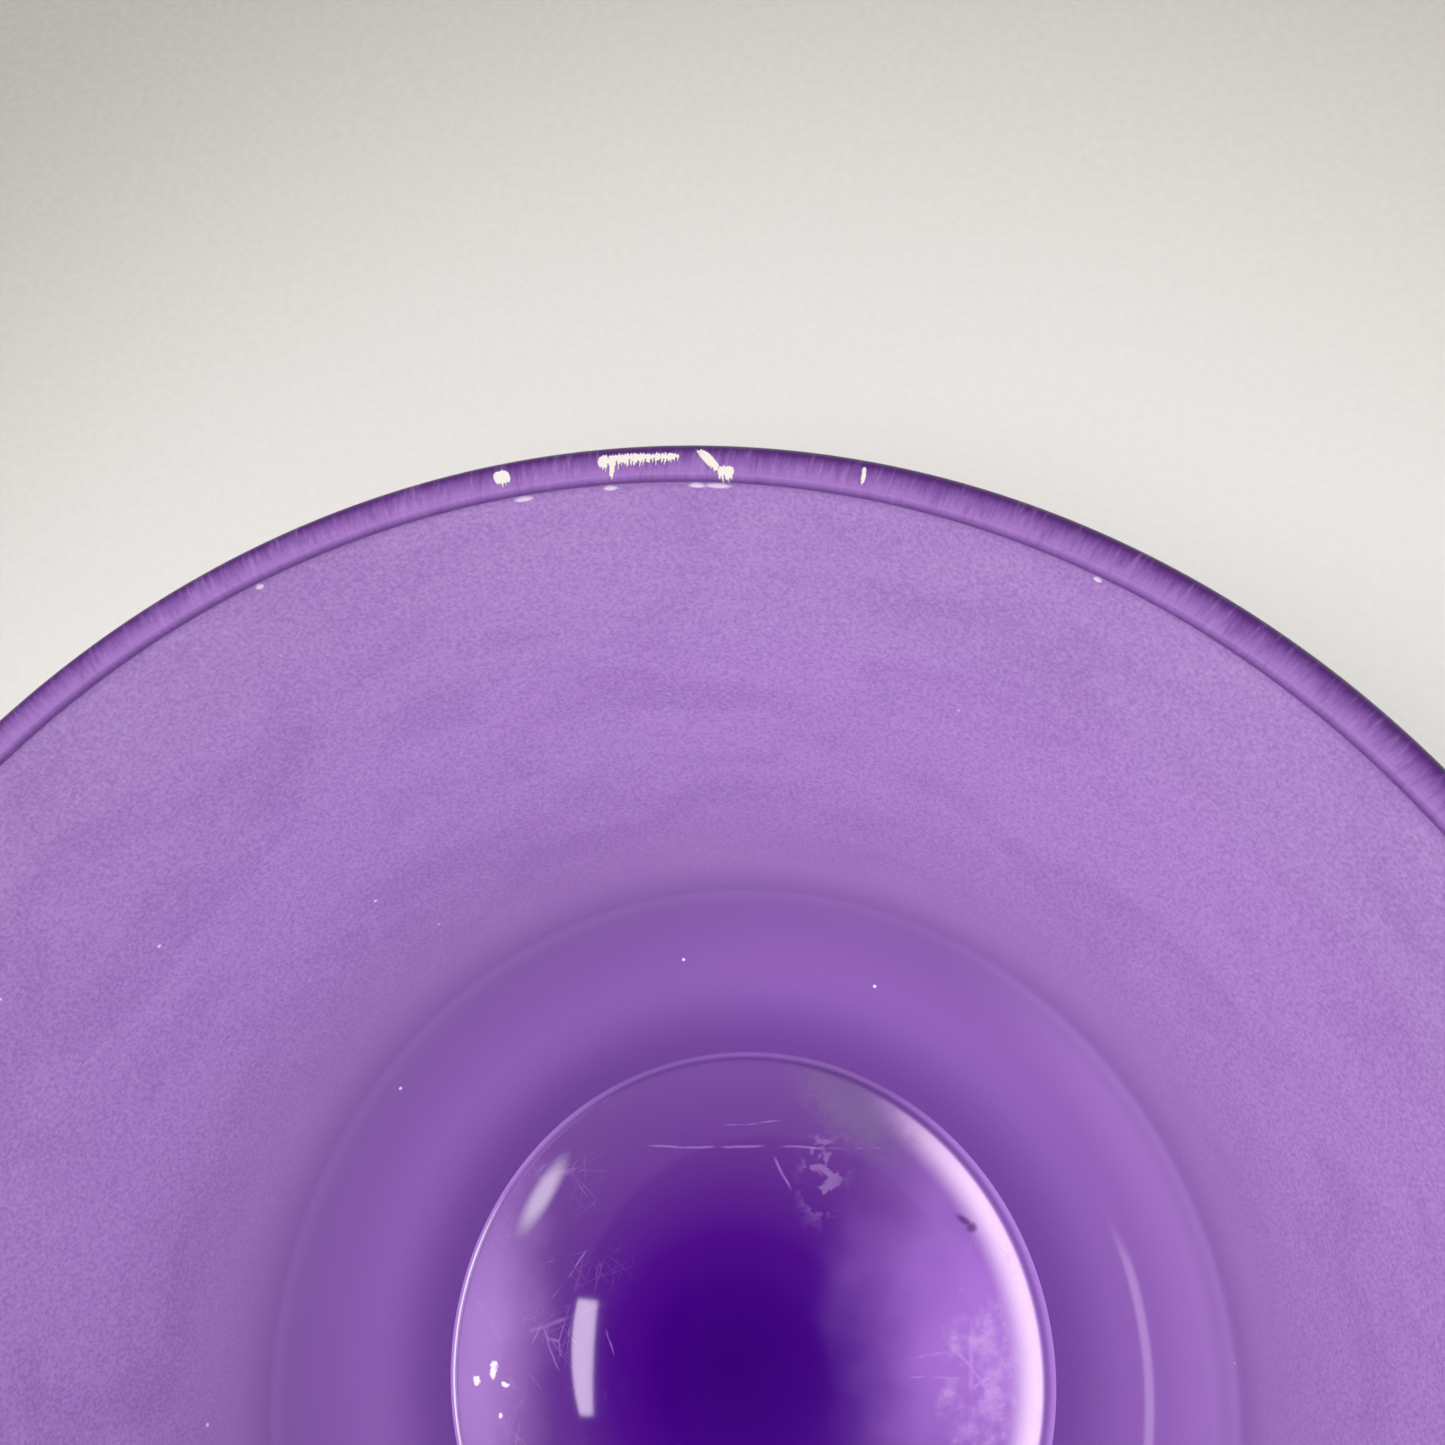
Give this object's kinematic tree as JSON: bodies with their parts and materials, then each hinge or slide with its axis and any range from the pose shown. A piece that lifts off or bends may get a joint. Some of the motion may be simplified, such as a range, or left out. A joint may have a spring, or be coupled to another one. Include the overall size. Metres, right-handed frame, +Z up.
{
  "type": "hair color bowl",
  "caption": "Deep flared mixing bowl for hair colour: translucent purple, banded rim, glossy raised dome in the floor, round foot with a rubber non-slip ring",
  "frame": {"origin": "centre of the bounding box at its base, on the surface that the bowl stands on", "axes": "+Z up along the bowl's axis of revolution; X and Y are free, because the bowl is round"},
  "size_m": [0.14, 0.14, 0.076],
  "materials": {
    "rim": "smooth, edge worn and chipped to white in places",
    "wall": "satin, translucent, fine grain",
    "dome": "polished, finely scratched",
    "seal": "smooth silicone",
    "foot": "smooth, translucent",
    "rubber": "matte"
  },
  "bodies": {
    "root": {"rim_band": "rim", "bowl_shell": "wall", "dome_floor": "dome", "dome_seal": "seal", "foot_collar": "foot", "nonslip_ring": "rubber"}
  },
  "joints": []
}
